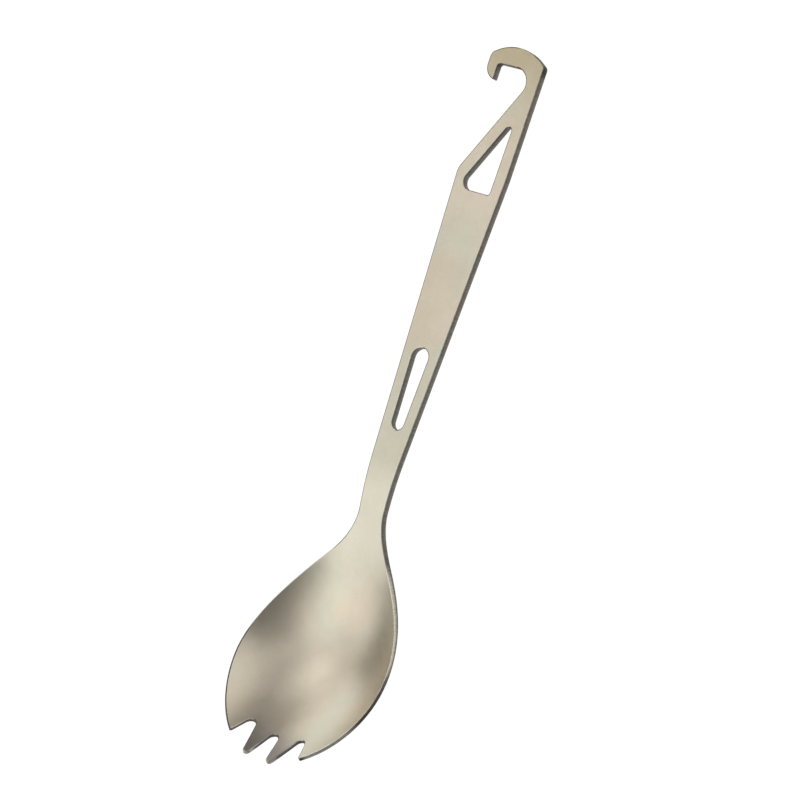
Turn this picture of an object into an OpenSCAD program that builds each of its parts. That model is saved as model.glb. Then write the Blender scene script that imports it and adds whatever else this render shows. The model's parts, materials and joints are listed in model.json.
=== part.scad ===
// A spork in one piece: cut from titanium plate, with its bowl rolled thinner and pressed to shape.
// Everything is drawn with the handle's top face at height zero, the hook end at x = 0 and the
// tines towards +x, and then tipped and moved to the way the spork lies on a table.

/* [Plate] */
// Thickness of the handle plate
plate_t = 2; // [1.6:0.1:2.4]
// Thickness of the rolled bowl and of the tines
bowl_t = 0.9; // [0.8:0.05:1.2]

/* [Handle] */
// Length of the flat handle, from the hook end to where the neck starts to bend
handle_len = 100; // [95:1:120]
// Distance from the hook end to the shoulder, where the handle is widest
shoulder_x = 31.3; // [29:0.1:34]
// Width of the handle at the shoulder
shoulder_w = 14.2; // [13.5:0.1:16]
// Distance from the end of the flat handle to the narrowest place of the neck
neck_run = 12; // [9:0.5:14]
// Width at the narrowest place of the neck
neck_w = 7.5; // [6.4:0.1:8.4]

/* [Hook] */
// Radius of the hook's rounded end
hook_end_r = 11.7; // [11:0.1:15]
// Distance from the axis to the middle of the rounded end, towards the hook's outer edge
end_offset = 1.2; // [0.6:0.1:1.6]
// Distance from the axis to the hook's outer edge
hook_reach = 8.55; // [8.2:0.05:10]
// Width of the arm that runs across the end
hook_arm = 4.75; // [4:0.05:5.6]
// Width of the nose that turns back along the handle
nose_w = 2.85; // [2.4:0.05:3.4]
// Reach of the nose along the handle, from the hook end
nose_len = 8.9; // [8.4:0.05:10]
// Angle by which the nose's end leans back
nose_lean = 24; // [20:1:27]
// Radius of the outer corner where the arm meets the nose
crown_r = 1.9; // [1:0.1:2]
// Radius of the outer corner where the arm meets the handle
heel_r = 1.3; // [0.5:0.1:2]
// Radius at the bottom of the throat
throat_r = 3.8; // [2:0.1:4]
// Radius of the small inner corner under the nose
corner_r = 0.65; // [0.4:0.05:1.2]
// Angle between the ramp, from the throat to the shoulder, and the axis
ramp_angle = 26.2; // [25:0.1:27]
// Radius of the shoulder's corner
shoulder_r = 4.5; // [1:0.5:6]

/* [Window] */
// Distance from the hook end to the window's square end
window_x = 35.8; // [34:0.1:38]
// Width of the brace between the ramp and the window
brace_w = 3.25; // [3:0.05:4]
// Width of the rail between the window and the handle's straight edge
rail_w = 3; // [2.6:0.1:3.6]
// Radius of the window's pointed end
apex_r = 0.9; // [0.3:0.05:1.2]
// Radius of the window's wide corner
window_r = 2.2; // [1:0.1:2.4]
// Radius of the window's small corner
window_heel_r = 0.75; // [0.3:0.05:1]

/* [Slot] */
// Length of the slot
slot_len = 20.4; // [14:0.1:30]
// Width of the slot at its end towards the hook
slot_wide_w = 4.8; // [4.2:0.1:5.2]
// Width of the slot at its end towards the bowl
slot_narrow_w = 3.5; // [2.4:0.1:4]
// Distance from the slot to the end of the flat handle
slot_inset = 4.7; // [4:0.1:10]

/* [Bowl] */
// Width of the bowl
bowl_w = 41.8; // [38:0.2:44]
// Distance from the end of the flat handle to the bowl's widest place
bowl_run = 55.1; // [52:0.1:58]
// Distance from the widest place to the front of the bowl's outline
front_len = 23.5; // [22:0.1:26]
// Power of the outline's front: 2 is an ellipse, and less is more pointed
front_power = 1.87; // [1.8:0.01:2.1]
// Radius of the bowl's side at its widest place
side_r = 26.2; // [22:0.2:30]
// Angle that the bowl's back edges tend towards, from the axis
flare_angle = 50.2; // [48:0.1:53]
// Width over which the neck's edge blends into the bowl's
neck_blend = 6; // [4:0.5:8]
// Radius of the bowl across its width
cup_r = 33.5; // [30:0.5:40]
// Distance from the end of the flat handle to where the cupping starts
cup_start = 13.5; // [10:0.5:18]
// Length over which the cupping comes in
cup_run = 19; // [15:0.5:26]
// Angle by which the neck drops below the handle
neck_angle = 12; // [8:0.5:16]
// Length of the neck's bend
neck_bend = 18; // [14:0.5:24]
// Distance from the end of the flat handle to where the bowl starts to rise
rise_start = 30; // [26:0.5:34]
// Length over which the bowl rises to its steepest
rise_run = 51; // [46:0.5:56]
// Angle of the tines above the handle, at their steepest
tip_angle = 43.5; // [34:0.5:46]
// Distance from the end of the flat handle to where the plate starts to thin
thin_start = 10; // [6:0.5:16]
// Length over which the plate thins to the bowl's thickness
thin_run = 40; // [30:1:44]

/* [Tines] */
// Depth of the middle gap, from the front of the bowl's outline
mid_gap = 6.25; // [5:0.05:7]
// Depth of the two side gaps, from the front of the bowl's outline
side_gap = 7.4; // [6.6:0.05:8.2]
// Distance from the axis to the side gaps
side_gap_y = 7.65; // [7.2:0.05:8.2]
// Radius at the root of a gap
gap_r = 1.5; // [1:0.05:1.6]
// Half of the angle that the middle gap opens by
mid_open = 15.5; // [13:0.5:20]
// Half of the angle that a side gap opens by
side_open = 22.5; // [19:0.5:25]
// Angle by which the side gaps turn outwards
side_turn = 3.5; // [2:0.5:6]
// Radius of the two inner tips
inner_tip_r = 1; // [0.7:0.05:1.2]
// Radius of the two outer tips
outer_tip_r = 0.45; // [0.3:0.05:0.7]

/* [Hidden] */
$fn = 64;
titanium = [0.72, 0.69, 0.62];

// How far a cut runs past the plate, and the step used to measure the slope of the pressed surface
over = plate_t / 2;
probe = plate_t / 200;

// Radii of the nose's round outer corner and of its tip, as shares of the nose's width
nose_round_share = 1.22;
nose_tip_share = 0.1;
// How far the rounded end runs, as a share of the way from its middle to the hook's outer edge
end_arc_share = 0.845;

// Facets: rows of the bowl, rows of a tine, rows of a gap's root, and the steps of one rounded
// corner and of one end of the slot
bowl_rows = 30;
tine_rows = 7;
root_rows = 3;
fillet_steps = 12;
end_steps = 24;
// Columns of the four tines, with one column for each gap between them
tine_cols = [4, 4, 4, 4];
// Direction of the first point of a gap's root, from straight back
root_flat = 22;

shoulder = [shoulder_x, -shoulder_w / 2];
neck_x = handle_len + neck_run;
widest_x = handle_len + bowl_run;
front_x = widest_x + front_len;
half_w = bowl_w / 2;
flare_slope = tan(flare_angle);
side_round = side_r * pow(flare_slope, 2);

// Curves that start and end smoothly: a step from 0 to 1, and the same step added up along its run
function clamp(q) = max(0, min(1, q));
function ease(q) = let(c = clamp(q)) c * c * (3 - 2 * c);
function eased_run(q) = let(c = clamp(q)) pow(c, 3) - pow(c, 4) / 2 + max(0, q - 1);

function taper(x) = (shoulder_w + (neck_w - shoulder_w) * (x - shoulder_x) / (neck_x - shoulder_x)) / 2;
function flare(x) = half_w + side_round - norm([side_round, flare_slope * (widest_x - x)]);
function blend(a, b, w) = max(a, b) + pow(max(0, w - abs(a - b)), 2) / (4 * w);
function front(x) = half_w * pow(1 - pow(clamp((x - widest_x) / front_len), front_power), 1 / front_power);

// Half of the outline's width at a station along the axis
function half_width(x) = x < widest_x ? blend(taper(x), flare(x), neck_blend) : front(x);

// Height of the top face on the axis: two smooth bends, one down at the neck and one up in the bowl
function centre_z(x) = let(at = x - handle_len)
    (tan(tip_angle) + tan(neck_angle)) * rise_run * eased_run((at - rise_start) / rise_run)
    - tan(neck_angle) * neck_bend * eased_run(at / neck_bend);
// Height of the top face: across the axis it is an arc, whose curvature comes in behind the neck
function cup(x) = ease((x - handle_len - cup_start) / cup_run) / cup_r;
function top_z(x, y) = let(k = cup(x)) centre_z(x) + k * y * y / (1 + sqrt(1 - pow(k * y, 2)));
function sheet_t(x) = plate_t + (bowl_t - plate_t) * ease((x - handle_len - thin_start) / thin_run);
function slope_x(x, y) = (top_z(x + probe, y) - top_z(x - probe, y)) / (2 * probe);
function slope_y(x, y) = (top_z(x, y + probe) - top_z(x, y - probe)) / (2 * probe);
function normal(x, y) = let(n = [-slope_x(x, y), -slope_y(x, y), 1]) n / norm(n);
function upper(p) = [p.x, p.y, top_z(p.x, p.y)];
function under(p) = upper(p) - sheet_t(p.x) * normal(p.x, p.y);

function unit(v) = v / norm(v);
function heading(a) = [cos(a), sin(a)];
function mix(a, b, q) = a + (b - a) * q;
// Where the line through p along u meets the line through q along v
function meet(p, u, q, v) = p + u * cross(q - p, v) / cross(u, v);

// The rounded corner at b between the directions to a and to c, as points along its arc
function fillet(a, b, c, r, steps) =
    let(u = unit(a - b), v = unit(c - b),
        half = acos(u * v) / 2,
        centre = b + unit(u + v) * r / sin(half),
        from = b + u * r / tan(half) - centre,
        sweep = 180 - 2 * half,
        turn = cross(u, v) > 0 ? -1 : 1)
    [for (i = [0:steps]) let(t = turn * sweep * i / steps)
        centre + [from.x * cos(t) - from.y * sin(t), from.x * sin(t) + from.y * cos(t)]];
// A closed outline with its corners rounded, from rows of corner and radius
function rounded(list) = let(n = len(list))
    [for (i = [0:n - 1])
        let(a = list[(i + n - 1) % n][0], b = list[i][0], c = list[(i + 1) % n][0], r = list[i][1])
        each r > 0 ? fillet(a, b, c, r, fillet_steps) : [b]];

// The ramp's edge, from the throat to the shoulder
ramp = tan(ramp_angle);
function ramp_y(x) = shoulder.y + (shoulder_x - x) * ramp;
// The hook's end is an arc between two straight flanks, drawn as one rounded corner
flank = asin(end_arc_share * (hook_reach - end_offset) / hook_end_r);
end_x = hook_end_r * (1 - 1 / cos(flank));
function flank_x(y) = end_x + abs(y + end_offset) * tan(flank);

module handle_plan()
    polygon(rounded([
        [[handle_len, taper(handle_len)], 0],
        [[shoulder_x, shoulder_w / 2], 0],
        [[flank_x(shoulder_w / 2), shoulder_w / 2], heel_r],
        [[end_x, -end_offset], hook_end_r],
        [[flank_x(-hook_reach), -hook_reach], crown_r],
        [[nose_len - nose_w * tan(nose_lean), -hook_reach], nose_w * nose_round_share],
        [[nose_len, nose_w - hook_reach], nose_w * nose_tip_share],
        [[hook_arm, nose_w - hook_reach], corner_r],
        [[hook_arm, ramp_y(hook_arm)], throat_r],
        [shoulder, shoulder_r],
        [[handle_len, -taper(handle_len)], 0]]));

// The window keeps an even brace along the ramp and an even rail along the straight edge
module window_plan() {
    brace = brace_w / cos(ramp_angle);
    rail_y = shoulder_w / 2 - rail_w;
    apex_x = shoulder_x - (rail_y - brace - shoulder.y) / ramp;
    polygon(rounded([
        [[apex_x, rail_y], apex_r],
        [[window_x, ramp_y(window_x) + brace], window_r],
        [[window_x, taper(window_x) - rail_w], window_heel_r]]));
}

// The slot is two round ends and the straight sides that touch both
module slot_plan() {
    r1 = slot_wide_w / 2;
    r2 = slot_narrow_w / 2;
    x2 = handle_len - slot_inset - r2;
    x1 = handle_len - slot_inset - slot_len + r1;
    side = acos((r1 - r2) / (x2 - x1));
    polygon(concat(
        [for (i = [0:end_steps]) [x1, 0] + r1 * heading(mix(side, 360 - side, i / end_steps))],
        [for (i = [0:end_steps]) [x2, 0] + r2 * heading(mix(-side, side, i / end_steps))]));
}

module handle()
    difference() {
        translate([0, 0, -plate_t]) linear_extrude(plate_t) handle_plan();
        translate([0, 0, -plate_t - over]) linear_extrude(plate_t + 2 * over) {
            window_plan();
            slot_plan();
        }
    }

// The three gaps between the tines: centre of the root, heading and half opening
gaps = [
    [[front_x - side_gap + gap_r, -side_gap_y], -side_turn, side_open],
    [[front_x - mid_gap + gap_r, 0], 0, mid_open],
    [[front_x - side_gap + gap_r, side_gap_y], side_turn, side_open]];
// A gap's edge, on its -y side for side = -1 and on its +y side for side = 1
function gap_heading(g, side) = heading(g[1] + side * g[2]);
function gap_root(g, side, i) =
    g[0] + gap_r * heading(g[1] + side * mix(180 - root_flat, 90 + g[2], i / root_rows));
function gap_line(g, side) = gap_root(g, side, root_rows);
mid_line = gap_line(gaps[1], 1);
side_line = gap_line(gaps[2], -1);
outer_line = gap_line(gaps[2], 1);
// Where an outer tine's inner edge meets the bowl's outline, found by halving
function rim_gap(x) = let(p = outer_line, u = gap_heading(gaps[2], 1))
    half_width(x) - p.y - (x - p.x) * u.y / u.x;
function crossing(lo, hi, n) = let(m = (lo + hi) / 2)
    n == 0 ? m : rim_gap(m) > 0 ? crossing(m, hi, n - 1) : crossing(lo, m, n - 1);
halvings = 30;
outer_x = crossing(outer_line.x, front_x, halvings);
rim_heading = unit([probe, half_width(outer_x) - half_width(outer_x + probe)]);

// The tips: an inner tip rounds the corner where its two edges would meet, and an outer tip the
// corner between its inner edge and the rim. Points run from the -y side to the +y side.
inner_corner = meet(mid_line, gap_heading(gaps[1], 1), side_line, gap_heading(gaps[2], -1));
inner_tip = fillet(mid_line, inner_corner, side_line, inner_tip_r, tine_cols[2]);
outer_corner = [outer_x, half_width(outer_x)];
outer_back = outer_corner + front_len * [-rim_heading.x, rim_heading.y];
outer_tip = fillet(outer_line, outer_corner, outer_back, outer_tip_r, tine_cols[3]);
function mirrored(list) = [for (i = [len(list) - 1:-1:0]) [list[i].x, -list[i].y]];
tips = [mirrored(outer_tip), mirrored(inner_tip), inner_tip, outer_tip];

// The last full row of the bowl joins the gaps' roots, and sweeps back to the rim on both sides
rim_row_share = 0.62;
rim_row_x = gaps[2][0].x - side_gap_y * rim_row_share;
rim_row_y = half_width(rim_row_x);
function tine_base(k) = [
    k == 0 ? [rim_row_x, -rim_row_y] : gap_root(gaps[k - 1], 1, 0),
    k == 3 ? [rim_row_x, rim_row_y] : gap_root(gaps[k], -1, 0)];
base_row = [for (k = [0:3]) let(b = tine_base(k), n = tine_cols[k])
    for (j = [0:n]) mix(b[0], b[1], j / n)];

// A tine's two edges, row by row from its base to its tip
function rim_edge(side, tip, i) = let(x = mix(rim_row_x, tip.x, i / tine_rows))
    i == tine_rows ? tip : [x, side * half_width(x)];
function gap_edge(g, side, tip, i) = i <= root_rows ? gap_root(g, side, i)
    : mix(gap_line(g, side), tip, (i - root_rows) / (tine_rows - root_rows));
function low_edge(k, i) = let(tip = tips[k][0])
    k == 0 ? rim_edge(-1, tip, i) : gap_edge(gaps[k - 1], 1, tip, i);
function high_edge(k, i) = let(tip = tips[k][tine_cols[k]])
    k == 3 ? rim_edge(1, tip, i) : gap_edge(gaps[k], -1, tip, i);
// A tine's row is drawn between its edges, and bows more and more like the tip
function tine_row(k, i) = let(t = tips[k], n = tine_cols[k])
    [for (j = [0:n]) mix(low_edge(k, i), high_edge(k, i), j / n)
        + (t[j] - mix(t[0], t[n], j / n)) * i / tine_rows];

// All the plan's points, row by row: first the neck and bowl, then the tines
function bowl_row(i) = let(q = i / bowl_rows, x = mix(handle_len, rim_row_x, q))
    [for (p = base_row) [x + (p.x - rim_row_x) * pow(q, 4), p.y / rim_row_y * half_width(x)]];
plan = concat([for (i = [0:bowl_rows]) bowl_row(i)],
    [for (i = [1:tine_rows]) [for (k = [0:3]) each tine_row(k, i)]]);

rows = len(plan);
cols = len(base_row);
flat_plan = [for (row = plan) each row];
head_points = concat([for (p = flat_plan) upper(p)], [for (p = flat_plan) under(p)]);
// The columns where a gap opens past the last full row
function gap_col(k) = k == 0 ? tine_cols[0] : gap_col(k - 1) + 1 + tine_cols[k];
gap_cols = [for (k = [0:2]) gap_col(k)];
function is_gap(j) = len(search(j, gap_cols)) > 0;
function solid(i, j) = i >= 0 && i < rows - 1 && j >= 0 && j < cols - 1 && !(i >= bowl_rows && is_gap(j));
function top_at(i, j) = i * cols + j;
function low_at(i, j) = (rows + i) * cols + j;
function quad(a, b, c, d) = [[a, b, c], [a, c, d]];
function wall(a, b) = quad(top_at(a[0], a[1]), top_at(b[0], b[1]), low_at(b[0], b[1]), low_at(a[0], a[1]));
head_faces = [for (i = [0:rows - 2]) for (j = [0:cols - 2]) if (solid(i, j))
    let(a = [i, j], b = [i, j + 1], c = [i + 1, j + 1], d = [i + 1, j])
    each concat(
        quad(top_at(i, j), top_at(i, j + 1), top_at(i + 1, j + 1), top_at(i + 1, j)),
        quad(low_at(i, j), low_at(i + 1, j), low_at(i + 1, j + 1), low_at(i, j + 1)),
        solid(i - 1, j) ? [] : wall(b, a),
        solid(i, j + 1) ? [] : wall(c, b),
        solid(i + 1, j) ? [] : wall(d, c),
        solid(i, j - 1) ? [] : wall(a, d))];

module head() polyhedron(head_points, head_faces);

// The pose on a table: the hook end's lower edge and the bowl's underside both touch it
rest_tilt = max([for (p = head_points) atan2(-plate_t - p.z, p.x)]);
front_reach = max([for (p = head_points) p.x * cos(rest_tilt) - p.z * sin(rest_tilt)]);
floor_z = -plate_t * cos(rest_tilt);

module spork()
    color(titanium)
        translate([-front_reach / 2, 0, -floor_z])
            rotate([0, -rest_tilt, 0]) {
                handle();
                head();
            }

spork();
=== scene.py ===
import json
import math

import bmesh
import bpy
import numpy as np
from mathutils import Matrix, Vector
from mathutils.geometry import tessellate_polygon


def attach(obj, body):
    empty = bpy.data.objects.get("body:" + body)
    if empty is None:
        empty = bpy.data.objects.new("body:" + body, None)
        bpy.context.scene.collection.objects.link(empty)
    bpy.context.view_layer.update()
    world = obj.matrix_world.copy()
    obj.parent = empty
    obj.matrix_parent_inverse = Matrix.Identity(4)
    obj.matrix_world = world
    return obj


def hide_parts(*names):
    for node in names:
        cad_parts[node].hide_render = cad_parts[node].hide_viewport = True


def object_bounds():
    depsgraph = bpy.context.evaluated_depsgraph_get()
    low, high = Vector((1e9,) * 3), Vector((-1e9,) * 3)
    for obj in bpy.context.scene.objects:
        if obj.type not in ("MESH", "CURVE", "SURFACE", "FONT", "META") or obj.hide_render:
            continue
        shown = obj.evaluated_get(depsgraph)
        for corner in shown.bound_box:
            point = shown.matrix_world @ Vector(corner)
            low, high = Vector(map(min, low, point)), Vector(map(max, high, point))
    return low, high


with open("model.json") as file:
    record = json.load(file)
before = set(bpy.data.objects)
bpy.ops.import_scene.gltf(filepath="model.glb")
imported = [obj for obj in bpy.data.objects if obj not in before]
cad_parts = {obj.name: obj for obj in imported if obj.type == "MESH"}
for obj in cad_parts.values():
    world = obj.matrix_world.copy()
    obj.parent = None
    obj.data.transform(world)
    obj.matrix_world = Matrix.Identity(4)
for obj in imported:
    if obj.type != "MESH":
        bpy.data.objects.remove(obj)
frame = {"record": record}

cad_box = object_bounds()

# Lengths are in millimetres and angles in degrees, in the plate's own frame: the handle's top face
# is at height zero, the hook end at x = 0 and the tines towards +x. MM turns them into metres.
MM = 0.001
PLATE_T = 2.0
BOWL_T = 0.9

# Handle
HANDLE_LEN = 100.0
SHOULDER_X = 31.3
SHOULDER_W = 14.2
NECK_RUN = 12.0
NECK_W = 7.5

# Hook
HOOK_END_R = 11.7
END_OFFSET = 1.2
END_ARC_SHARE = 0.845
HOOK_REACH = 8.55
HOOK_ARM = 4.75
NOSE_W = 2.85
NOSE_LEN = 8.9
NOSE_LEAN = 24.0
NOSE_ROUND_SHARE = 1.22
NOSE_TIP_SHARE = 0.1
CROWN_R = 1.9
HEEL_R = 1.3
THROAT_R = 3.8
CORNER_R = 0.65
RAMP_ANGLE = 26.2
SHOULDER_R = 4.5

# Window and slot
WINDOW_X = 35.8
BRACE_W = 3.25
RAIL_W = 3.0
APEX_R = 0.9
WINDOW_R = 2.2
WINDOW_HEEL_R = 0.75
SLOT_LEN = 20.4
SLOT_WIDE_W = 4.8
SLOT_NARROW_W = 3.5
SLOT_INSET = 4.7

# Bowl
BOWL_W = 41.8
BOWL_RUN = 55.1
FRONT_LEN = 23.5
FRONT_POWER = 1.87
SIDE_R = 26.2
FLARE_ANGLE = 50.2
NECK_BLEND = 6.0
CUP_R = 33.5
CUP_START = 13.5
CUP_RUN = 19.0
NECK_ANGLE = 12.0
NECK_BEND = 18.0
RISE_START = 30.0
RISE_RUN = 51.0
TIP_ANGLE = 43.5
THIN_START = 10.0
THIN_RUN = 40.0

# Tines
MID_GAP = 6.25
SIDE_GAP = 7.4
SIDE_GAP_Y = 7.65
GAP_R = 1.5
MID_OPEN = 15.5
SIDE_OPEN = 22.5
SIDE_TURN = 3.5
INNER_TIP_R = 1.0
OUTER_TIP_R = 0.45

# The worn edges' radii: the handle's and tines', the bowl's sides' and the underside's. A narrow
# flat band behind an edge keeps the faces' shading even.
EDGE_R = 0.20
RIM_R = 0.16
LOW_R = 0.10
BAND = 0.06
# Where the edge changes to the bowl's rim, and the stretch of the bowl's sides that is dressed
RIM_START = 118.0
RIM_RUN = 10.0
# The dressed stretch has a smaller worn edge, and its pale walls and bare edges paint a highlight
# along the rim
DRESSED_START = 125.0
DRESSED_END = 147.0
DRESSED_FADE = 6.0
# How much of the wall's look an edge has where its round starts
EDGE_CUT = 0.12
EDGE_STEPS = 5
# Edges where the outline faces the hook's open side, the -y side, carry a dark line of painted
# shade, which changes over within this much of the outline's turn
SHADE_SIDE_TURN = 0.06

# Rows and columns of the faces, steps of the arcs, and how far a gap's back reaches to each side in
# degrees. The bowl's last full row meets the rim behind the outer gaps, by RIM_ROW_SHARE of their
# distance from the axis.
BOWL_ROWS = 100
TINE_ROWS = 21
ROOT_ROWS = 9
TINE_COLS = 12
GAP_COLS = 6
ROOT_FLAT = 22.0
CORNER_STEPS = 24
END_STEPS = 48
RIM_ROW_SHARE = 0.62
# The step for slopes, the distance within which points are one, and how often a place is halved
PROBE = 0.01
WELD = 0.0004
HALVINGS = 40

NECK_X = HANDLE_LEN + NECK_RUN
WIDEST_X = HANDLE_LEN + BOWL_RUN
FRONT_X = WIDEST_X + FRONT_LEN
HALF_W = BOWL_W / 2
FLARE_SLOPE = math.tan(math.radians(FLARE_ANGLE))
RAMP_SLOPE = math.tan(math.radians(RAMP_ANGLE))


def ease(q):
    """A step from 0 to 1 that starts and ends smoothly: c squared times (3 minus 2c)."""
    c = np.clip(q, 0, 1)
    return c * c * (3 - 2 * c)


def eased_run(q):
    """The same step added up along its run: c cubed minus half of c to the fourth, then a line."""
    c = np.clip(q, 0, 1)
    return c**3 - c**4 / 2 + np.maximum(0, q - 1)


def taper(x):
    """Half of the handle's width, a straight line from the shoulder to the neck."""
    return (SHOULDER_W + (NECK_W - SHOULDER_W) * (x - SHOULDER_X) / (NECK_X - SHOULDER_X)) / 2


def half_width(x):
    """Half of the outline's width: the handle's taper blends into a hyperbola, which is the bowl's
    back edge, and in front of the widest place the outline is a superellipse."""
    side = SIDE_R * FLARE_SLOPE**2
    flare = HALF_W + side - np.hypot(side, FLARE_SLOPE * (WIDEST_X - x))
    narrow = taper(x)
    over = np.maximum(0, NECK_BLEND - np.abs(narrow - flare))
    back = np.maximum(narrow, flare) + over**2 / (4 * NECK_BLEND)
    ahead = np.clip((x - WIDEST_X) / FRONT_LEN, 0, 1)
    front = HALF_W * (1 - ahead**FRONT_POWER) ** (1 / FRONT_POWER)
    return np.where(x < WIDEST_X, back, front)


def top_z(x, y):
    """Height of the pressed top face: two smooth bends along the axis, one down at the neck and one
    up in the bowl, plus a circular arc across, whose curvature comes in behind the neck."""
    at = x - HANDLE_LEN
    drop = math.tan(math.radians(NECK_ANGLE))
    rise = math.tan(math.radians(TIP_ANGLE)) + drop
    up = rise * RISE_RUN * eased_run((at - RISE_START) / RISE_RUN)
    down = drop * NECK_BEND * eased_run(at / NECK_BEND)
    k = ease((at - CUP_START) / CUP_RUN) / CUP_R
    return up - down + k * y * y / (1 + np.sqrt(1 - (k * y) ** 2))


def sheet_t(x):
    """Thickness: full plate at the handle, thinning smoothly to the rolled bowl."""
    return PLATE_T + (BOWL_T - PLATE_T) * ease((x - HANDLE_LEN - THIN_START) / THIN_RUN)


def at_rim(x):
    """0 on the handle and 1 on the bowl, with a smooth step along the neck."""
    return ease((x - RIM_START) / RIM_RUN)


def dressing(x):
    """0 on the handle and the tines and 1 along the bowl's sides, where the worn edge is smaller
    and the rim gets a painted highlight.
    """
    begun = ease((x - DRESSED_START) / DRESSED_FADE)
    return begun * (1 - ease((x - DRESSED_END) / DRESSED_FADE))


def top_edge_r(x):
    """Radius of the worn edge round the top face."""
    return EDGE_R + (RIM_R - EDGE_R) * dressing(x)


def in_sheet(plan, drop):
    """Plan points on the top face, moved down into the sheet by drop along the face's normal."""
    x, y = plan[..., 0], plan[..., 1]
    slope_x = (top_z(x + PROBE, y) - top_z(x - PROBE, y)) / (2 * PROBE)
    slope_y = (top_z(x, y + PROBE) - top_z(x, y - PROBE)) / (2 * PROBE)
    normal = np.stack([-slope_x, -slope_y, np.ones_like(x)], -1)
    normal /= np.linalg.norm(normal, axis=-1, keepdims=True)
    return np.stack([x, y, top_z(x, y)], -1) - drop[..., None] * normal


def unit(v):
    return v / np.linalg.norm(v)


def heading(angle):
    """Unit vectors in the plan at angles given in degrees."""
    a = np.radians(angle)
    return np.stack([np.cos(a), np.sin(a)], -1)


def left_of(v):
    """A plan direction turned a quarter turn to the left."""
    return np.stack([-v[..., 1], v[..., 0]], -1)


def mix(a, b, share):
    """Points from a to b at the given shares of the way."""
    return a + (b - a) * np.asarray(share)[..., None]


def meet(p, u, q, v):
    """Where the line through p along u meets the line through q along v."""
    across = u[0] * v[1] - u[1] * v[0]
    return p + u * ((q - p)[0] * v[1] - (q - p)[1] * v[0]) / across


def fillet(a, b, c, r, steps):
    """A rounded corner at b between a and c: points of its arc and, at each, the direction to the
    left of travel, which is towards the plate's material on every outline here."""
    u, v = unit(a - b), unit(c - b)
    half = math.acos(u @ v) / 2
    centre = b + unit(u + v) * r / math.sin(half)
    turn = -1 if u[0] * v[1] - u[1] * v[0] > 0 else 1
    first = (b + u * r / math.tan(half) - centre) / r
    start = math.degrees(math.atan2(first[1], first[0]))
    sweep = turn * (180 - 2 * math.degrees(half))
    ray = heading(start + sweep * np.linspace(0, 1, steps + 1))
    return centre + r * ray, -turn * ray


def rounded(rows, closed):
    """An outline with its corners rounded, from rows of corner and radius. A corner without radius
    stays a single point. An open outline keeps its two ends."""
    corners = [np.array(row[0], float) for row in rows]
    count = len(corners)
    points, normals = [], []
    for i in range(count):
        before, here, after = corners[i - 1], corners[i], corners[(i + 1) % count]
        if not closed and i == 0:
            before = here - (after - here)
        if not closed and i == count - 1:
            after = here + (here - before)
        if rows[i][1] > 0:
            arc, ray = fillet(before, here, after, rows[i][1], CORNER_STEPS)
        else:
            arc = here[None]
            ray = left_of(unit(unit(after - here) + unit(here - before)))[None]
        points.append(arc)
        normals.append(ray)
    return np.concatenate(points), np.concatenate(normals)


def ramp_y(x):
    """The ramp's edge, from the throat to the shoulder."""
    return -SHOULDER_W / 2 + (SHOULDER_X - x) * RAMP_SLOPE


def handle_outline():
    """The handle's outline with its hook, from the neck on the +y side round to the -y side. The
    hook's end is one large rounded corner between two straight flanks."""
    flank = math.asin(END_ARC_SHARE * (HOOK_REACH - END_OFFSET) / HOOK_END_R)
    end_x = HOOK_END_R * (1 - 1 / math.cos(flank))

    def flank_x(y):
        return end_x + abs(y + END_OFFSET) * math.tan(flank)

    lean = NOSE_W * math.tan(math.radians(NOSE_LEAN))
    shoulder = SHOULDER_W / 2
    rows = [
        ([HANDLE_LEN, taper(HANDLE_LEN)], 0),
        ([SHOULDER_X, shoulder], 0),
        ([flank_x(shoulder), shoulder], HEEL_R),
        ([end_x, -END_OFFSET], HOOK_END_R),
        ([flank_x(-HOOK_REACH), -HOOK_REACH], CROWN_R),
        ([NOSE_LEN - lean, -HOOK_REACH], NOSE_W * NOSE_ROUND_SHARE),
        ([NOSE_LEN, NOSE_W - HOOK_REACH], NOSE_W * NOSE_TIP_SHARE),
        ([HOOK_ARM, NOSE_W - HOOK_REACH], CORNER_R),
        ([HOOK_ARM, ramp_y(HOOK_ARM)], THROAT_R),
        ([SHOULDER_X, -shoulder], SHOULDER_R),
        ([HANDLE_LEN, -taper(HANDLE_LEN)], 0),
    ]
    return rounded(rows, closed=False)


def window_outline():
    """The triangular window, clockwise: an even brace along the ramp and an even rail along the
    straight edge."""
    brace = BRACE_W / math.cos(math.radians(RAMP_ANGLE))
    rail_y = SHOULDER_W / 2 - RAIL_W
    apex_x = SHOULDER_X - (rail_y - brace + SHOULDER_W / 2) / RAMP_SLOPE
    rows = [
        ([apex_x, rail_y], APEX_R),
        ([WINDOW_X, taper(WINDOW_X) - RAIL_W], WINDOW_HEEL_R),
        ([WINDOW_X, ramp_y(WINDOW_X) + brace], WINDOW_R),
    ]
    return rounded(rows, closed=True)


def slot_outline():
    """The slot, clockwise: two round ends and the straight sides that touch both."""
    r1, r2 = SLOT_WIDE_W / 2, SLOT_NARROW_W / 2
    x2 = HANDLE_LEN - SLOT_INSET - r2
    x1 = HANDLE_LEN - SLOT_INSET - SLOT_LEN + r1
    side = math.degrees(math.acos((r1 - r2) / (x2 - x1)))
    share = np.linspace(0, 1, END_STEPS + 1)
    wide = heading(360 - side + (2 * side - 360) * share)
    narrow = heading(side - 2 * side * share)
    points = [np.array([x1, 0]) + r1 * wide, np.array([x2, 0]) + r2 * narrow]
    return np.concatenate(points), np.concatenate([wide, narrow])


def rim(x, side):
    """The bowl's rim at stations along the axis, with the direction towards the material."""
    slope = (half_width(x + PROBE) - half_width(x - PROBE)) / (2 * PROBE)
    points = np.stack([x, side * half_width(x)], -1)
    inward = np.stack([slope, -side * np.ones_like(x)], -1)
    return points, inward / np.linalg.norm(inward, axis=-1, keepdims=True)


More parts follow.
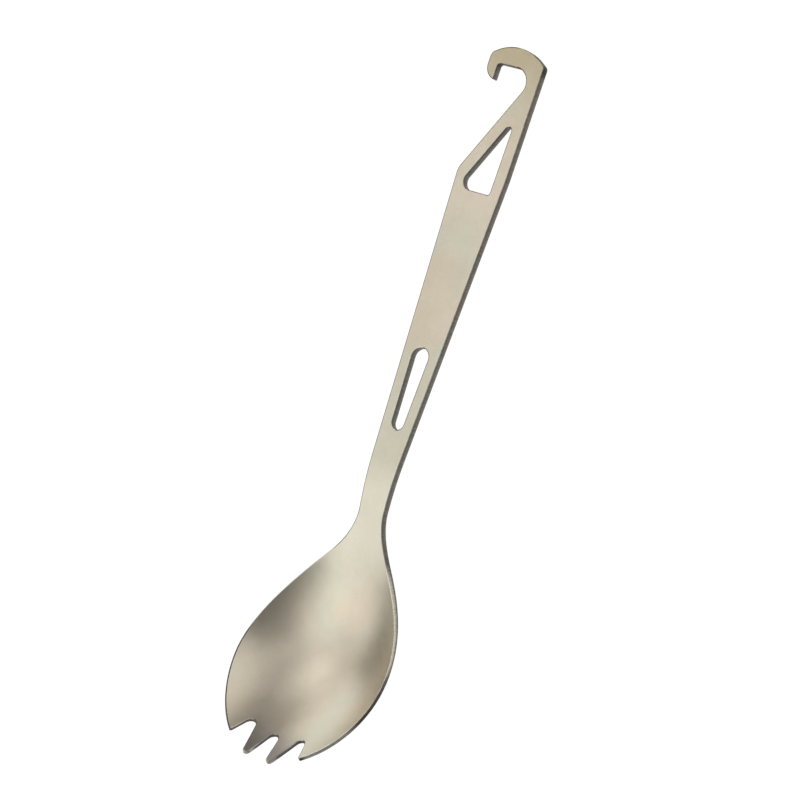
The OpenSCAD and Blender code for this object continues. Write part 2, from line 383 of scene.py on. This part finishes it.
class Gap:
    """One gap between two tines: the root's centre, the way it heads and how wide it opens."""

    def __init__(self, depth, y, turn, opening):
        self.centre = np.array([FRONT_X - depth + GAP_R, y])
        self.turn = turn
        self.opening = opening

    def edge_heading(self, side):
        return heading(self.turn + side * self.opening)

    def root(self, side):
        """The root's arc on one side, from near its back to where the straight edge starts."""
        angles = np.linspace(180 - ROOT_FLAT, 90 + self.opening, ROOT_ROWS + 1)
        ray = heading(self.turn + side * angles)
        return self.centre + GAP_R * ray, ray

    def back(self):
        """The back of the root, between the two sides' arcs."""
        angles = 180 + ROOT_FLAT * np.linspace(1, -1, GAP_COLS + 1)
        ray = heading(self.turn + angles)
        return self.centre + GAP_R * ray, ray


GAPS = [
    Gap(SIDE_GAP, -SIDE_GAP_Y, -SIDE_TURN, SIDE_OPEN),
    Gap(MID_GAP, 0, 0, MID_OPEN),
    Gap(SIDE_GAP, SIDE_GAP_Y, SIDE_TURN, SIDE_OPEN),
]
RIM_ROW_X = GAPS[2].centre[0] - SIDE_GAP_Y * RIM_ROW_SHARE


def mirrored(points, normals):
    """An edge on the other side of the axis, run the other way."""
    flip = np.array([1, -1])
    return points[::-1] * flip, normals[::-1] * flip


def outer_corner(line, along):
    """Where an outer tine's inner edge meets the bowl's rim, found by halving."""
    low, high = line[0], FRONT_X
    for _ in range(HALVINGS):
        x = (low + high) / 2
        inside = half_width(np.array(x)) > line[1] + (x - line[0]) * along[1] / along[0]
        low, high = (x, high) if inside else (low, x)
    return np.array([low, float(half_width(np.array(low)))])


def tine_tips():
    """The four tips, from -y to +y. An inner tip rounds the corner where its two edges would meet,
    and an outer tip the corner between its inner edge and the rim."""
    mid, side = GAPS[1], GAPS[2]
    mid_line = mid.root(1)[0][-1]
    side_line = side.root(-1)[0][-1]
    outer_line = side.root(1)[0][-1]
    inner = meet(mid_line, mid.edge_heading(1), side_line, side.edge_heading(-1))
    inner_tip = fillet(mid_line, inner, side_line, INNER_TIP_R, TINE_COLS)
    outer = outer_corner(outer_line, side.edge_heading(1))
    along = left_of(rim(outer[:1], 1)[1][0])
    outer_tip = fillet(outer_line, outer, outer - along * FRONT_LEN, OUTER_TIP_R, TINE_COLS)
    # The arcs run towards +y, which turns left, so the material is on their left
    return [mirrored(*outer_tip), mirrored(*inner_tip), inner_tip, outer_tip]


def tine_edge(k, side, tip):
    """One edge of tine k, row by row from the bowl's last full row to the tip: the rim, or a gap's
    root and then a straight line."""
    if (k, side) in ((0, -1), (len(GAPS), 1)):
        x = np.linspace(RIM_ROW_X, tip[0][0], TINE_ROWS + 1)
        points, normals = rim(x, side)
        points[-1], normals[-1] = tip
        return points, normals
    root, ray = GAPS[k if side > 0 else k - 1].root(-side)
    share = np.linspace(0, 1, TINE_ROWS - ROOT_ROWS + 1)[1:]
    points = np.concatenate([root, mix(root[-1], tip[0], share)])
    normals = np.concatenate([ray, np.repeat(ray[-1:], len(share), 0)])
    return points, normals


def head_edges():
    """All edges of the bowl and the tines as points and inward directions: the two rims, and for
    each tine its -y edge, its tip and its +y edge, and the backs of the gaps."""
    x = np.linspace(HANDLE_LEN, RIM_ROW_X, BOWL_ROWS + 1)
    tines = []
    for k, (points, normals) in enumerate(tine_tips()):
        low = tine_edge(k, -1, (points[0], normals[0]))
        high = tine_edge(k, 1, (points[-1], normals[-1]))
        tines.append((low, (points, normals), high))
    return rim(x, -1), rim(x, 1), tines, [gap.back() for gap in GAPS]


def whole_outline(head):
    """The plate's outline as one loop, anticlockwise: handle, -y rim, tines and +y rim. A point
    that two stretches share is taken once."""
    low_rim, high_rim, tines, backs = head
    parts = [handle_outline(), tuple(a[1:] for a in low_rim)]
    for k, (low, tip, high) in enumerate(tines):
        parts.append(tuple(a[1:] for a in low))
        parts.append(tuple(a[1:-1] for a in tip))
        parts.append(tuple(a[::-1] for a in high))
        if k < len(GAPS):
            parts.append(tuple(a[1:] for a in backs[k]))
    parts.append(tuple(a[::-1][1:-1] for a in high_rim))
    points = np.concatenate([p for p, _ in parts])
    normals = np.concatenate([n for _, n in parts])
    return points, normals


def inset(edge):
    """An edge moved in the plan to where the flat face starts."""
    points, normals = edge
    return points + (top_edge_r(points[:, :1]) + BAND) * normals


def head_plans(head):
    """Grids of plan points for the faces of the bowl and the tines: the bowl's rows bow more and
    more like its last one, by the fourth power of their share, and the tines' like the tips."""
    _, high_rim, tines, backs = head
    right = inset(high_rim)
    share = np.linspace(0, 1, TINE_COLS + 1)
    base = []
    for k, (low, _, high) in enumerate(tines):
        base.append(mix(inset(low)[0], inset(high)[0], share))
        if k < len(GAPS):
            base.append(inset(backs[k])[1:-1])
    base = np.concatenate(base)
    q = np.linspace(0, 1, BOWL_ROWS + 1)[:, None]
    x = right[:, :1] + (base[:, 0] - right[-1, 0]) * q**4
    y = base[:, 1] / right[-1, 1] * right[:, 1:]
    grids = [np.stack([x, y], -1)]
    for low, tip, high in tines:
        low, tip, high = (inset(edge) for edge in (low, tip, high))
        rows = low[:, None] + (high - low)[:, None] * share[None, :, None]
        bow = tip - mix(tip[0], tip[-1], share)
        grids.append(rows + bow[None] * np.linspace(0, 1, len(low))[:, None, None])
    return grids


VALUES = ("cut", "depth", "sharp", "rim", "dressed_and_highlit")


class Sheet:
    """Points, faces and five values per point: cut, from 0 on the plate's faces to 1 on its walls;
    depth, from 0 at the top face to 1 at the underside; the shade side, which is 1 on edges that
    face the hook's open side, where a dark line is painted shade; rim, from 0 on the handle to 1 on
    the bowl; and the dressed highlight, which is 1 only along the bowl's sides, where the dressed
    rim gets a painted highlight."""

    def __init__(self):
        self.points = []
        self.values = []
        self.faces = []
        self.count = 0

    def add(self, points, cut, depth, sharp=0):
        """Adds points with their values and gives back their numbers."""
        flat = points.reshape(-1, 3)
        first = self.count
        x = points[..., 0]
        each = (cut, depth, sharp, at_rim(x), dressing(x))
        values = [np.broadcast_to(v, x.shape).ravel() for v in each]
        self.points.append(flat)
        self.values.append(np.stack(values, -1))
        self.count += len(flat)
        return first + np.arange(len(flat)).reshape(points.shape[:-1])

    def quads(self, index, flip=False):
        """Joins a grid of point numbers with faces that turn anticlockwise from row to column."""
        a, b, c, d = index[:-1, :-1], index[1:, :-1], index[1:, 1:], index[:-1, 1:]
        corners = np.stack([a, d, c, b] if flip else [a, b, c, d], -1).reshape(-1, 4)
        self.faces.extend(corners.tolist())

    def triangles(self, corners, flip=False):
        self.faces.extend([t[::-1] if flip else t for t in corners])


def wall_profile(r):
    """The profile carried along every outline, from the top face over the worn edge and down the
    wall to the underside: rows of inset, cut value, distance from the nearer face, and whether that
    is the underside. The worn edges are quarter circles, and along them the cut value grows with
    the squared sine of their angle. r is the top one's radius at each point."""
    angle = np.linspace(0, math.pi / 2, EDGE_STEPS + 1)[:, None]
    curve_in, curve_off = 1 - np.sin(angle), 1 - np.cos(angle)
    none = 0 * r[None]
    flat = none + r + BAND
    low = none + LOW_R
    inward = np.concatenate([flat, r * curve_in, none, none, low * curve_in[::-1], flat])
    off = np.concatenate([none, r * curve_off, flat, low + BAND, low * curve_off[::-1], none])
    cut = EDGE_CUT + (1 - EDGE_CUT) * np.sin(angle) ** 2
    cuts = np.concatenate([[[0]], cut, [[1], [1]], cut[::-1], [[0]]])
    under = np.repeat([[False], [True]], len(cuts) // 2, axis=0)
    return inward, cuts, off, under


def carry_wall(sheet, outline):
    """The wall along one closed outline. Returns its first and last rows, which join the faces."""
    points, normals = outline
    inward, cuts, off, under = wall_profile(top_edge_r(points[:, 0]))
    plan = points + inward[..., None] * normals
    t = sheet_t(plan[..., 0])
    down = np.where(under, t - off, off)
    # Where the outline faces the hook's open side, its edge gets a dark line of painted shade
    sharp = ease((normals[:, 1] + SHADE_SIDE_TURN) / (2 * SHADE_SIDE_TURN))
    index = sheet.add(in_sheet(plan, down), cuts, down / t, sharp)
    sheet.quads(np.concatenate([index, index[:, :1]], 1))
    return index[0], index[-1]


def build_spork():
    """The whole plate as one closed surface in its own frame."""
    sheet = Sheet()
    head = head_edges()
    loops = [whole_outline(head), window_outline(), slot_outline()]
    edges = [carry_wall(sheet, loop) for loop in loops]
    neck_rows = []
    for plan in head_plans(head):
        t = sheet_t(plan[..., 0])
        top = sheet.add(in_sheet(plan, 0 * t), 0, 0)
        under = sheet.add(in_sheet(plan, t), 0, 1)
        sheet.quads(top)
        sheet.quads(under, flip=True)
        neck_rows = neck_rows or [top[0], under[0]]
    handle_count = len(handle_outline()[0])
    points = np.concatenate(sheet.points)
    for level, flip in ((0, False), (1, True)):
        outer = edges[0][level][:handle_count]
        rows = [np.concatenate([outer, neck_rows[level][1:-1]])] + [e[level] for e in edges[1:]]
        order = np.concatenate(rows)
        fill = tessellate_polygon([[Vector(p) for p in points[row]] for row in rows])
        corners = order[np.array(fill)]
        # The fill's triangles come in both turns, and here all of them turn anticlockwise
        a, b, c = (points[corners[:, i], :2] for i in range(3))
        turns = (b - a)[:, 0] * (c - a)[:, 1] - (b - a)[:, 1] * (c - a)[:, 0]
        corners[turns < 0] = corners[turns < 0][:, ::-1]
        sheet.triangles(corners.tolist(), flip)
    return points, np.concatenate(sheet.values), sheet.faces


def on_table(points):
    """From the plate's frame to the table's: tipped by the handle's own angle, which the record's
    handle_top mount gives, with the hook end at the box's low end and its underside at height
    zero."""
    mounts = {m["name"]: m for m in frame["record"]["mounts"]}
    lean, _, upright = mounts["handle_top"]["axis"]
    low = np.array(cad_box[0])
    points = np.asarray(points, float) * MM
    x = points[..., 0] * upright + points[..., 2] * lean + low[0]
    z = points[..., 2] * upright - points[..., 0] * lean + PLATE_T * MM * upright
    return np.stack([x, points[..., 1], z], -1)


def make_spork(material):
    points, values, faces = build_spork()
    mesh = bpy.data.meshes.new("spork_plate")
    mesh.from_pydata(on_table(points), [], faces)
    for column, name in enumerate(VALUES):
        layer = mesh.attributes.new(name, "FLOAT", "POINT")
        layer.data.foreach_set("value", values[:, column].astype(np.float32))
    work = bmesh.new()
    work.from_mesh(mesh)
    bmesh.ops.remove_doubles(work, verts=work.verts, dist=WELD * MM)
    work.to_mesh(mesh)
    work.free()
    mesh.shade_smooth()
    mesh.materials.append(material)
    spork = bpy.data.objects.new("spork_plate", mesh)
    bpy.context.scene.collection.objects.link(spork)
    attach(spork, "root")
    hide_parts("spork")
    return spork


# Titanium. Colours are linear. Blasted faces in two close tones with warm and cool casts, dark cut
# walls that are partly painted shade and lighter low down as painted floor light, dressed walls
# along the bowl's sides that are pale as a painted highlight, and bare metal where an edge is
# rubbed or dressed, partly wear and partly a painted highlight
FACE_DARK = (0.505, 0.458, 0.362, 1)
FACE_LIGHT = (0.560, 0.515, 0.420, 1)
WARM_CAST = (1.018, 0.992, 0.980, 1)
COOL_CAST = (0.970, 1.010, 1.012, 1)
HOOK_TINT = (0.71, 0.69, 0.57, 1)
TIP_TINT = (0.44, 0.45, 0.50, 1)
# Cut walls: dark partly by their finish and partly as painted shade, darkest under the face's edge
# as painted shade and lighter low down as the painted reflection of the lit floor. The bowl's rim
# walls are painted shade
WALL_TOP_SHADE = (0.085, 0.076, 0.064, 1)
WALL_LOW_FLOOR_LIGHT = (0.200, 0.186, 0.160, 1)
RIM_WALL_SHADE = (0.110, 0.102, 0.090, 1)
# Painted highlight: pale walls along the bowl's dressed sides
DRESSED_WALL_HIGHLIGHT = (0.460, 0.430, 0.345, 1)
# Painted light: lighter walls at the front of the +y side
LIT_FRONT_WALL = (0.450, 0.435, 0.385, 1)
# Bare metal: wear at the inner tines' tips, and a painted highlight on rubbed and dressed edges
BARE_AND_HIGHLIGHT = (0.640, 0.605, 0.530, 1)

# Places along the table from the box's hook end, and to the side of the spork's axis
COOL_NECK_BEGINS = (69, 79)
COOL_NECK_ENDS = (125, 139)
COOL_FRONT = (151, 161)
COOL_FRONT_SIDE = (4, 10)
COOL_PUSH = 0.30
BROWN_HOOK = (-8, 28)
# Painted shade on the walls at the hook's end and inner corner, and how dark it gets there
CORNER_SHADE = (4.5, 6.9)
CORNER_SHADE_SHARE = 0.30
# Rubbed edges brighten along here, a painted highlight on the lower handle
HIGHLIT_RUBBED = (51, 71)
# Painted light on the front walls of the +y side, this far along and this far from the axis
LIGHT_FRONT = (161.5, 166)
OUTER_RIM = (11.2, 12.2)
INNER_TINES = (7, 9.5)
DARK_TINES = (168, 176.5)
WORN_TIPS = (175.7, 177.3)

# Patterns: repeats per metre, one for all axes or one for each, and how many octaves they have
CASTS = (62, 1)
CLOUDS = (48, 3)
BLOTCHES = (420, 3)
GRAIN = (5200, 2)
BRUSH = ((190, 3600, 3600), 2)
CUT_LINES = ((2600, 2600, 260), 2)
OCTAVE_SHARE = 0.55

# The ranges of the patterns' values that matter, and what becomes of them
MOST = (0.30, 0.70)
MIDDLE = (0.35, 0.65)
TONES = (0.45, 0.95)
BLOTCH_IN_TONES = 0.35
COOL_CASTS = (0.50, 0.70)
SPECKS = (0.955, 1.045)
LINE_TONES = (0.82, 1.18)
WORN_BLOTCHES = (0.35, 0.55)
WORN_SHARES = (0.15, 0.55)
RUBBED_BLOTCHES = (0.40, 0.62)
RUBBED_MORE = 0.30
# How bright the rubbed edges get on the lower handle, a painted highlight
HIGHLIT_RUBBED_SHARE = 0.70
RUBBED_ON_RIM = 0.10

# Ranges of the values that the mesh carries
# The first sets where the painted shade line starts on edges facing the hook's open side. The
# dressed ones shape the painted highlight along the bowl's rim
SHADE_SIDE_CUT = (0, 0.08)
DRESSED_CUT = (0.75, 1)
EDGE_LINE = (0, 0.6)
DRESSED_DEPTH = (0.30, 0.80)
DRESSED_LOW = 0.10
DRESSED_EDGE_DEPTH = (0.40, 0.75)
DRESSED_ON_SHADE_SIDE = 0.5

FACE_ROUGHNESS = 0.36
WALL_ROUGHNESS = 0.48
BARE_ROUGHNESS = 0.27
GRAIN_ROUGHNESS = 0.03
CLOUD_ROUGHNESS = 0.02
BRUSH_ROUGHNESS = 0.015
BRUSH_IN_BUMP = 0.35
BUMP_STRENGTH = 0.5
BUMP_HEIGHT = 0.00001


class Nodes:
    """Adds shader nodes to one tree. An input is a plain value or another node's socket."""

    def __init__(self, tree):
        self.tree = tree

    def add(self, kind, inputs=None, **settings):
        """A node with its settings, and with each named input set or linked."""
        node = self.tree.nodes.new(kind)
        for name, value in settings.items():
            setattr(node, name, value)
        for name, value in (inputs or {}).items():
            if isinstance(value, bpy.types.NodeSocket):
                self.tree.links.new(value, node.inputs[name])
            else:
                node.inputs[name].default_value = value
        return node

    def maths(self, operation, *values):
        """One step of arithmetic."""
        return self.add("ShaderNodeMath", dict(enumerate(values)), operation=operation).outputs[0]

    def product(self, first, *others):
        for other in others:
            first = self.maths("MULTIPLY", first, other)
        return first

    def total(self, first, *others):
        for other in others:
            first = self.maths("ADD", first, other)
        return first

    def spread(self, value, span, low=0, high=1):
        """A value taken smoothly from a span of its range to the range from low to high."""
        inputs = {0: value, 1: span[0], 2: span[1], 3: low, 4: high}
        return self.add("ShaderNodeMapRange", inputs, interpolation_type="SMOOTHSTEP").outputs[0]

    def blend(self, share, first, second):
        """Two values mixed by a share."""
        return self.add("ShaderNodeMix", {0: share, 2: first, 3: second}).outputs[0]

    def paint(self, share, first, second, mode="MIX"):
        """Two colours mixed by a share."""
        inputs = {0: share, 6: first, 7: second}
        return self.add("ShaderNodeMix", inputs, data_type="RGBA", blend_type=mode).outputs[2]

    def tint(self, share, colour, by):
        """A colour multiplied by another colour or a value, as far as the share says."""
        return self.paint(share, colour, by, "MULTIPLY")


class Titanium(Nodes):
    """The nodes of satin blasted titanium. They read places in millimetres and the values that the
    spork's mesh carries."""

    def __init__(self, tree):
        super().__init__(tree)
        self.place = self.add("ShaderNodeTexCoord").outputs["Object"]
        x, y, _ = self.add("ShaderNodeSeparateXYZ", {0: self.place}).outputs
        self.along = self.maths("MULTIPLY_ADD", x, 1 / MM, -cad_box[0][0] / MM)
        self.aside = self.maths("MULTIPLY", y, 1 / MM)
        self.off_axis = self.maths("ABSOLUTE", self.aside)
        self.on_inner_tines = self.spread(self.off_axis, INNER_TINES, 1, 0)
        self.cut, self.depth, self.sharp, self.rim, self.dressed_and_highlit = (
            self.add("ShaderNodeAttribute", attribute_name=name).outputs["Fac"] for name in VALUES
        )
        self.clouds = self.noise(*CLOUDS)
        self.blotches = self.noise(*BLOTCHES)
        self.grain = self.noise(*GRAIN)
        self.brush = self.noise(*BRUSH)
        self.lines = self.noise(*CUT_LINES)

    def noise(self, repeats, octaves):
        """Soft noise from 0 to 1, mostly near one half, fixed to the piece."""
        place = self.place
        if isinstance(repeats, tuple):
            place = self.add("ShaderNodeMapping", {"Vector": place, "Scale": repeats}).outputs[0]
            repeats = 1
        inputs = {"Vector": place, "Scale": repeats, "Detail": octaves, "Roughness": OCTAVE_SHARE}
        return self.add("ShaderNodeTexNoise", inputs).outputs["Fac"]

    def cast(self):
        """Warm and cool casts in soft patches, mostly cool at the neck and on one side in front."""
        neck = self.product(
            self.spread(self.along, COOL_NECK_BEGINS), self.spread(self.along, COOL_NECK_ENDS, 1, 0)
        )
        front = self.product(
            self.spread(self.along, COOL_FRONT), self.spread(self.aside, COOL_FRONT_SIDE)
        )
        cool = self.maths("MAXIMUM", neck, front)
        patches = self.maths("MULTIPLY_ADD", cool, COOL_PUSH, self.noise(*CASTS))
        return self.paint(self.spread(patches, COOL_CASTS), WARM_CAST, COOL_CAST)

    def face_colour(self):
        """Soft clouds of tone with a fine grain, brown towards the hook's end and dark on the two
        inner tines."""
        clouded = self.maths("MULTIPLY_ADD", self.blotches, BLOTCH_IN_TONES, self.clouds)
        face = self.paint(self.spread(clouded, TONES), FACE_DARK, FACE_LIGHT)
        face = self.tint(1, face, self.cast())
        face = self.tint(1, face, self.spread(self.grain, MOST, *SPECKS))
        face = self.tint(self.spread(self.along, BROWN_HOOK, 1, 0), face, HOOK_TINT)
        dark = self.product(self.on_inner_tines, self.spread(self.along, DARK_TINES))
        return self.tint(dark, face, TIP_TINT)

    def wall_colour_and_light(self):
        """Cut walls, dark partly by their own finish and partly as painted shade, darkest under the
        face's edge as painted shade and lighter low down as the painted reflection of the lit
        floor, with fine lines down them. They are lighter in front on the +y side as painted light,
        darker at the hook's end and inner corner as painted shade, worn at the inner tines' tips,
        and pale along the bowl's dressed sides as a painted highlight."""
        # Painted shade under the face's edge, and a painted reflection of the lit floor low down
        wall = self.paint(self.depth, WALL_TOP_SHADE, WALL_LOW_FLOOR_LIGHT)
        # Painted shade on the bowl's rim walls
        wall = self.paint(self.rim, wall, RIM_WALL_SHADE)
        # Painted shade at the hook's end and inner corner
        wall = self.tint(1, wall, self.spread(self.along, CORNER_SHADE, CORNER_SHADE_SHARE, 1))
        # Painted light on the front walls of the +y side
        front = self.product(
            self.spread(self.off_axis, OUTER_RIM),
            self.spread(self.along, LIGHT_FRONT),
            self.maths("SUBTRACT", 1, self.sharp),
        )
        wall = self.paint(front, wall, LIT_FRONT_WALL)
        worn = self.product(
            self.on_inner_tines,
            self.spread(self.along, WORN_TIPS),
            self.spread(self.blotches, WORN_BLOTCHES, *WORN_SHARES),
        )
        wall = self.paint(worn, wall, BARE_AND_HIGHLIGHT)
        # Painted highlight: pale walls along the bowl's dressed sides
        pale_highlight = self.product(self.dressed_and_highlit, self.spread(self.depth, DRESSED_DEPTH, 1, DRESSED_LOW))
        wall = self.paint(pale_highlight, wall, DRESSED_WALL_HIGHLIGHT)
        return self.tint(1, wall, self.spread(self.lines, MOST, *LINE_TONES))

    def wall_share(self):
        """Where the wall's look starts: early on an edge that faces the hook's open side, which
        paints a dark line of shade, and late on a dressed one, which keeps the round pale as part
        of the painted highlight along the bowl's rim."""
        walled = self.blend(self.sharp, self.cut, self.spread(self.cut, SHADE_SIDE_CUT))
        return self.blend(self.dressed_and_highlit, walled, self.spread(self.cut, DRESSED_CUT))

    def bare_and_highlight_share(self):
        """How bare and bright the metal is along an edge: rubbed on the handle in blotches, which
        is wear, and most on its lower half and away from the hook's open side, which is a painted
        highlight; and dressed along the bowl's sides, also a painted highlight. Cut times (1 minus
        cut) times 4 is 1 halfway round the edge."""
        halfway = self.product(self.maths("SUBTRACT", 1, self.cut), self.cut, 4)
        line = self.spread(halfway, EDGE_LINE)
        # A painted highlight along the lower handle, plus rubbed blotches, which are wear
        used = self.spread(self.along, HIGHLIT_RUBBED, 0, HIGHLIT_RUBBED_SHARE)
        used = self.blend(self.rim, used, RUBBED_ON_RIM)
        used = self.total(used, self.spread(self.blotches, RUBBED_BLOTCHES, 0, RUBBED_MORE))
        rubbed_and_highlit = self.product(line, self.spread(self.sharp, (0, 1), 1, 0), used)
        # A painted highlight along the bowl's dressed rim
        dressed_and_highlit = self.product(
            line,
            self.spread(self.sharp, (0, 1), 1, DRESSED_ON_SHADE_SIDE),
            self.spread(self.depth, DRESSED_EDGE_DEPTH, 1, 0),
        )
        return self.blend(self.dressed_and_highlit, rubbed_and_highlit, dressed_and_highlit)

    def roughness(self, walled, bare_and_highlit):
        """Satin faces that vary with the grain, rougher walls and smoother bare edges."""
        grain = self.spread(
            self.grain, MOST, FACE_ROUGHNESS - GRAIN_ROUGHNESS, FACE_ROUGHNESS + GRAIN_ROUGHNESS
        )
        clouds = self.spread(self.clouds, MIDDLE, -CLOUD_ROUGHNESS, CLOUD_ROUGHNESS)
        brush = self.spread(self.brush, MOST, -BRUSH_ROUGHNESS, BRUSH_ROUGHNESS)
        rough = self.blend(walled, self.total(grain, clouds, brush), WALL_ROUGHNESS)
        return self.blend(bare_and_highlit, rough, BARE_ROUGHNESS)

    def bump(self, walled):
        """Grain and faint lines along the faces, and lines down the walls."""
        face = self.maths("MULTIPLY_ADD", self.brush, BRUSH_IN_BUMP, self.grain)
        height = self.blend(walled, face, self.lines)
        inputs = {"Height": height, "Strength": BUMP_STRENGTH, "Distance": BUMP_HEIGHT}
        return self.add("ShaderNodeBump", inputs).outputs[0]


def titanium():
    """Satin blasted titanium: clouded faces with a fine grain; dark cut walls with lines down them,
    partly painted shade; edges towards the hook's open side with a dark line of painted shade; and
    bright rubbed or dressed edges elsewhere, partly wear and partly a painted highlight."""
    material = bpy.data.materials.new("satin_titanium")
    material.use_nodes = True
    metal = Titanium(material.node_tree)
    walled = metal.wall_share()
    bare_and_highlit = metal.bare_and_highlight_share()
    colour = metal.paint(walled, metal.face_colour(), metal.wall_colour_and_light())
    shader = material.node_tree.nodes["Principled BSDF"]
    shader.inputs["Metallic"].default_value = 1
    linked = {
        # Bare metal and painted highlights on the edges
        "Base Color": metal.paint(bare_and_highlit, colour, BARE_AND_HIGHLIGHT),
        "Roughness": metal.roughness(walled, bare_and_highlit),
        "Normal": metal.bump(walled),
    }
    for name, socket in linked.items():
        material.node_tree.links.new(socket, shader.inputs[name])
    return material


# The camera stands level with the middle of the spork and looks down on it from its +y side
VIEW_TILT = 34.0
VIEW_ROLL = 18.67
VIEW_DISTANCE = 688.8
VIEW_AIM = np.array([88.34, -1.41, 0.0])
FOCAL_PIXELS = 2900.4
FRAME_PIXELS = 800
SENSOR_MM = 36.0
CLIP_END = 10


def make_camera():
    tilt, roll = math.radians(VIEW_TILT), math.radians(VIEW_ROLL)
    along = np.array([1, 0, 0])
    across = np.array([0, math.cos(tilt), -math.sin(tilt)])
    back = np.array([0, math.sin(tilt), math.cos(tilt)])
    right = across * math.cos(roll) - along * math.sin(roll)
    up = -along * math.cos(roll) - across * math.sin(roll)
    place = VIEW_AIM + VIEW_DISTANCE * back
    origin = on_table([0, 0, 0])
    axes = [Vector((on_table(v) - origin) / MM) for v in (right, up, back)]
    turned = Matrix(axes).transposed().to_4x4()
    camera = bpy.data.objects.new("camera", bpy.data.cameras.new("camera"))
    camera.data.sensor_width = SENSOR_MM
    camera.data.lens = SENSOR_MM * FOCAL_PIXELS / FRAME_PIXELS
    camera.data.clip_end = CLIP_END
    camera.matrix_world = Matrix.Translation(Vector(on_table(place))) @ turned
    bpy.context.scene.collection.objects.link(camera)
    bpy.context.scene.camera = camera


FLOOR_REACH = 4.0
FLOOR_COLOUR = (0.90, 0.90, 0.90, 1)
WHITE = (1, 1, 1, 1)
# How much of the floor's look to the camera and in reflections is plain white. The rest is lit and
# carries the shadow, and the white's strength makes the two together about 1.
FLOOR_WHITE = 0.88
FLOOR_GLOW = 1.10


def make_floor():
    """A pale floor. The camera, reflections and glass see it mostly white, and keep the shadow."""
    mesh = bpy.data.meshes.new("floor")
    corners = [(-1, -1, 0), (1, -1, 0), (1, 1, 0), (-1, 1, 0)]
    mesh.from_pydata(np.array(corners) * FLOOR_REACH, [], [(0, 1, 2, 3)])
    floor = bpy.data.objects.new("floor", mesh)
    bpy.context.scene.collection.objects.link(floor)
    material = bpy.data.materials.new("floor")
    material.use_nodes = True
    material.node_tree.nodes.clear()
    nodes = Nodes(material.node_tree)
    path = nodes.add("ShaderNodeLightPath").outputs
    rays = ("Is Camera Ray", "Is Glossy Ray", "Is Transmission Ray")
    seen = nodes.maths("MINIMUM", nodes.total(*(path[name] for name in rays)), 1)
    lit = nodes.add("ShaderNodeBsdfDiffuse", {"Color": FLOOR_COLOUR}).outputs[0]
    glow = nodes.add("ShaderNodeEmission", {"Color": WHITE, "Strength": FLOOR_GLOW}).outputs[0]
    share = nodes.product(seen, FLOOR_WHITE)
    mixed = nodes.add("ShaderNodeMixShader", {0: share, 1: lit, 2: glow}).outputs[0]
    nodes.add("ShaderNodeOutputMaterial", {"Surface": mixed})
    mesh.materials.append(material)


# Round soft boxes on a sphere round the middle of the spork: compass angle from +x towards +y,
# height above the floor, the half angle that each takes up, all in degrees, and its brightness.
# The world's colours are in linear light, and its horizon ends between two angles.
BOX_DISTANCE = 0.9
OVERHEAD = (-83, 59, 33, 0.86)
BACK_HIGH = (-140, 43.5, 14, 1.43)
BACK_LOW = (-120, 14, 18, 1.31)
HOOK_SIDE = (148, 15.5, 37, 1.17)
HOOK_SPOT = (171, 65, 7.5, 1.36)
ZENITH = (-45, 78, 22, 0.55)
FRONT_FILL = (-38, 28, 38, 0.54)
SOFT_BOXES = (OVERHEAD, BACK_HIGH, BACK_LOW, HOOK_SIDE, HOOK_SPOT, ZENITH, FRONT_FILL)
HORIZON = (1.0, 1.0, 1.0, 1)
CEILING = (0.15, 0.15, 0.15, 1)
HORIZON_ENDS = (2.0, 7.0)


def make_soft_box(compass, above, half, brightness):
    """One soft box. A flat lamp of power P and area A has the brightness P / (pi A)."""
    a, e = math.radians(compass), math.radians(above)
    ray = Vector((math.cos(e) * math.cos(a), math.cos(e) * math.sin(a), math.sin(e)))
    radius = BOX_DISTANCE * math.tan(math.radians(half))
    area = math.pi * radius**2
    lamp = bpy.data.lights.new("soft_box", "AREA")
    lamp.shape = "DISK"
    lamp.size = 2 * radius
    lamp.energy = brightness * math.pi * area
    soft_box = bpy.data.objects.new("soft_box", lamp)
    soft_box.location = ray * BOX_DISTANCE
    soft_box.rotation_euler = (-ray).to_track_quat("-Z", "Y").to_euler()
    soft_box.visible_camera = False
    bpy.context.scene.collection.objects.link(soft_box)


def make_world():
    """A world that is pale at the horizon and dim above it."""
    world = bpy.data.worlds.new("studio")
    world.use_nodes = True
    nodes = Nodes(world.node_tree)
    ray = nodes.add("ShaderNodeTexCoord").outputs["Generated"]
    rise = nodes.add("ShaderNodeSeparateXYZ", {0: ray}).outputs[2]
    ends = [math.sin(math.radians(angle)) for angle in HORIZON_ENDS]
    sky = nodes.paint(nodes.spread(rise, ends), HORIZON, CEILING)
    world.node_tree.links.new(sky, world.node_tree.nodes["Background"].inputs["Color"])
    bpy.context.scene.world = world


make_spork(titanium())
make_camera()
make_floor()
for soft_box in SOFT_BOXES:
    make_soft_box(*soft_box)
make_world()
bpy.context.scene.view_settings.view_transform = "Standard"
